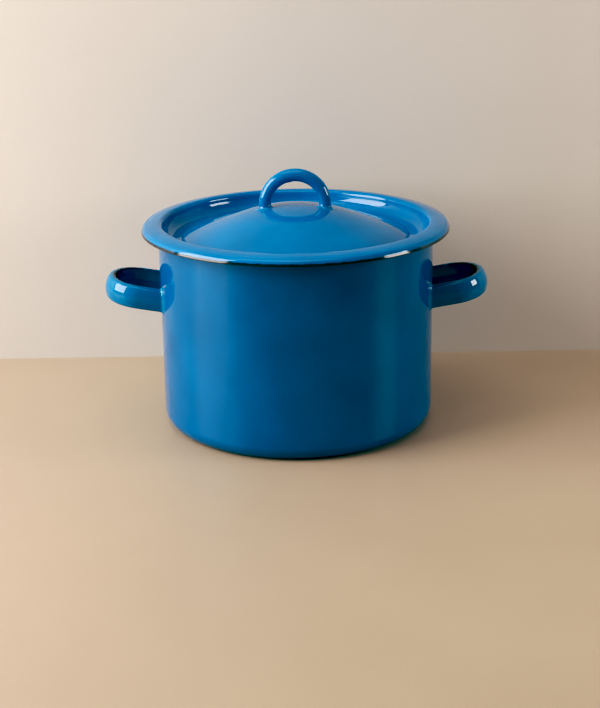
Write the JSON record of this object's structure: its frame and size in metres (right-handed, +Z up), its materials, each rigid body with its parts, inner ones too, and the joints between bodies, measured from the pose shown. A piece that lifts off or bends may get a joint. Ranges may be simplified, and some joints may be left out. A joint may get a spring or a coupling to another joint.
{
  "type": "stock pot",
  "caption": "Lidded enamelled steel stock pot: straight-sided pan with a rolled rim, two loop side handles, and a sunk-channel lid with an arched bar handle.",
  "frame": {"origin": "on the pot's axis, in the plane that the pot stands on", "axes": "+Z up along the pot's axis, X across the two side handles, the lid's handle spans X"},
  "size_m": [0.3378, 0.2688, 0.2255],
  "materials": {
    "pot_enamel": "glossy blue vitreous enamel on steel, with black ground enamel on the rolled rim and inside",
    "handle_enamel": "glossy blue vitreous enamel on pressed steel, black inside the channel",
    "lid_enamel": "glossy blue vitreous enamel on steel, with black ground enamel on the edge of its skirt and underneath",
    "lid_handle_enamel": "glossy blue vitreous enamel on a bent steel bar"
  },
  "bodies": {
    "pot": {"pot_vessel": "pot_enamel", "side_handle_right": "handle_enamel", "side_handle_left": "handle_enamel"},
    "lid": {"lid_pan": "lid_enamel", "lid_handle": "lid_handle_enamel"}
  },
  "joints": [
    {"name": "lid_lift", "type": "slide", "parent": "pot", "child": "lid", "axis": [0, 0, 1], "range_m": [0, 0.12]}
  ]
}
